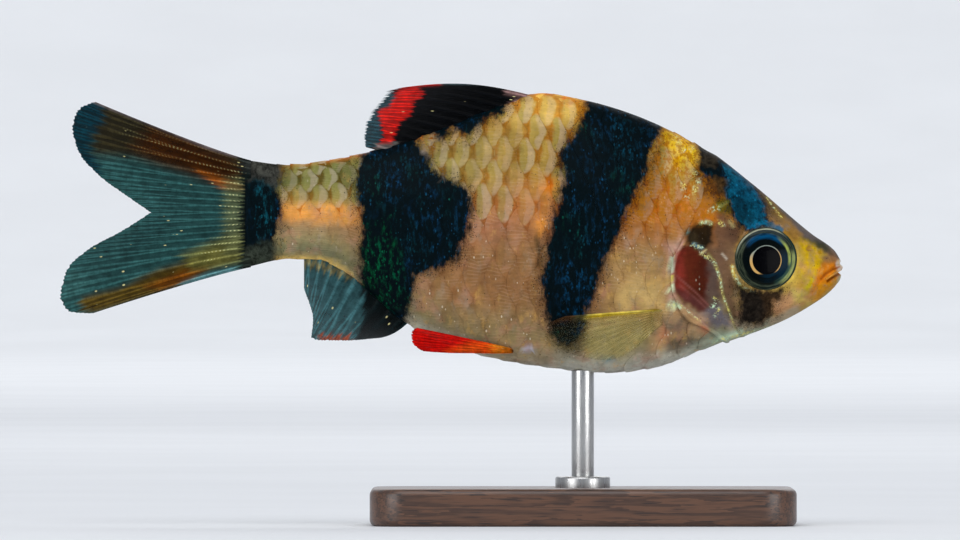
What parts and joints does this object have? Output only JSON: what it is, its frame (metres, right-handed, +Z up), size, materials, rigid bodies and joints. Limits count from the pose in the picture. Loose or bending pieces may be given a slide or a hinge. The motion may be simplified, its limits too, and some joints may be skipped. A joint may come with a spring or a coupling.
{
  "type": "tiger barb",
  "caption": "Life-size still model of a tiger barb, a small deep-bodied aquarium fish with dark bars and red fin edges, held up as if swimming by a rod on a flat display base.",
  "frame": {"origin": "middle of the model's box, on the underside of the display base", "axes": "+X towards the fish's snout, +Y out of its left side, +Z up through its back"},
  "size_m": [0.0626, 0.021, 0.0353],
  "materials": {
    "head_skin": "moist satin skin, gold and olive with black bars",
    "gill_cover_skin": "smooth bony plate, pearly with a dark red patch",
    "eye_ball": "wet gloss, black with a thin gold ring",
    "body_skin": "satin scales, cream and rose with blue-black bars",
    "tail_fin": "thin translucent membrane, blue-grey with amber edges",
    "dorsal_fin": "thin membrane, black with a red edge",
    "anal_fin": "thin translucent membrane, blue-grey and black",
    "chest_fin": "thin clear membrane with yellow rays",
    "belly_fin": "thin red membrane, amber at the root",
    "stand_wood": "dark satin walnut",
    "stand_steel": "brushed"
  },
  "bodies": {
    "root": {"head": "head_skin", "gill_cover_left": "gill_cover_skin", "gill_cover_right": "gill_cover_skin", "eye_left": "eye_ball", "eye_right": "eye_ball", "trunk": "body_skin", "tail_root": "body_skin", "tail_fin_upper": "tail_fin", "tail_fin_lower": "tail_fin", "dorsal_fin": "dorsal_fin", "anal_fin": "anal_fin", "chest_fin_left": "chest_fin", "chest_fin_right": "chest_fin", "belly_fin_left": "belly_fin", "belly_fin_right": "belly_fin", "stand_base": "stand_wood", "stand_rod": "stand_steel"}
  },
  "joints": []
}
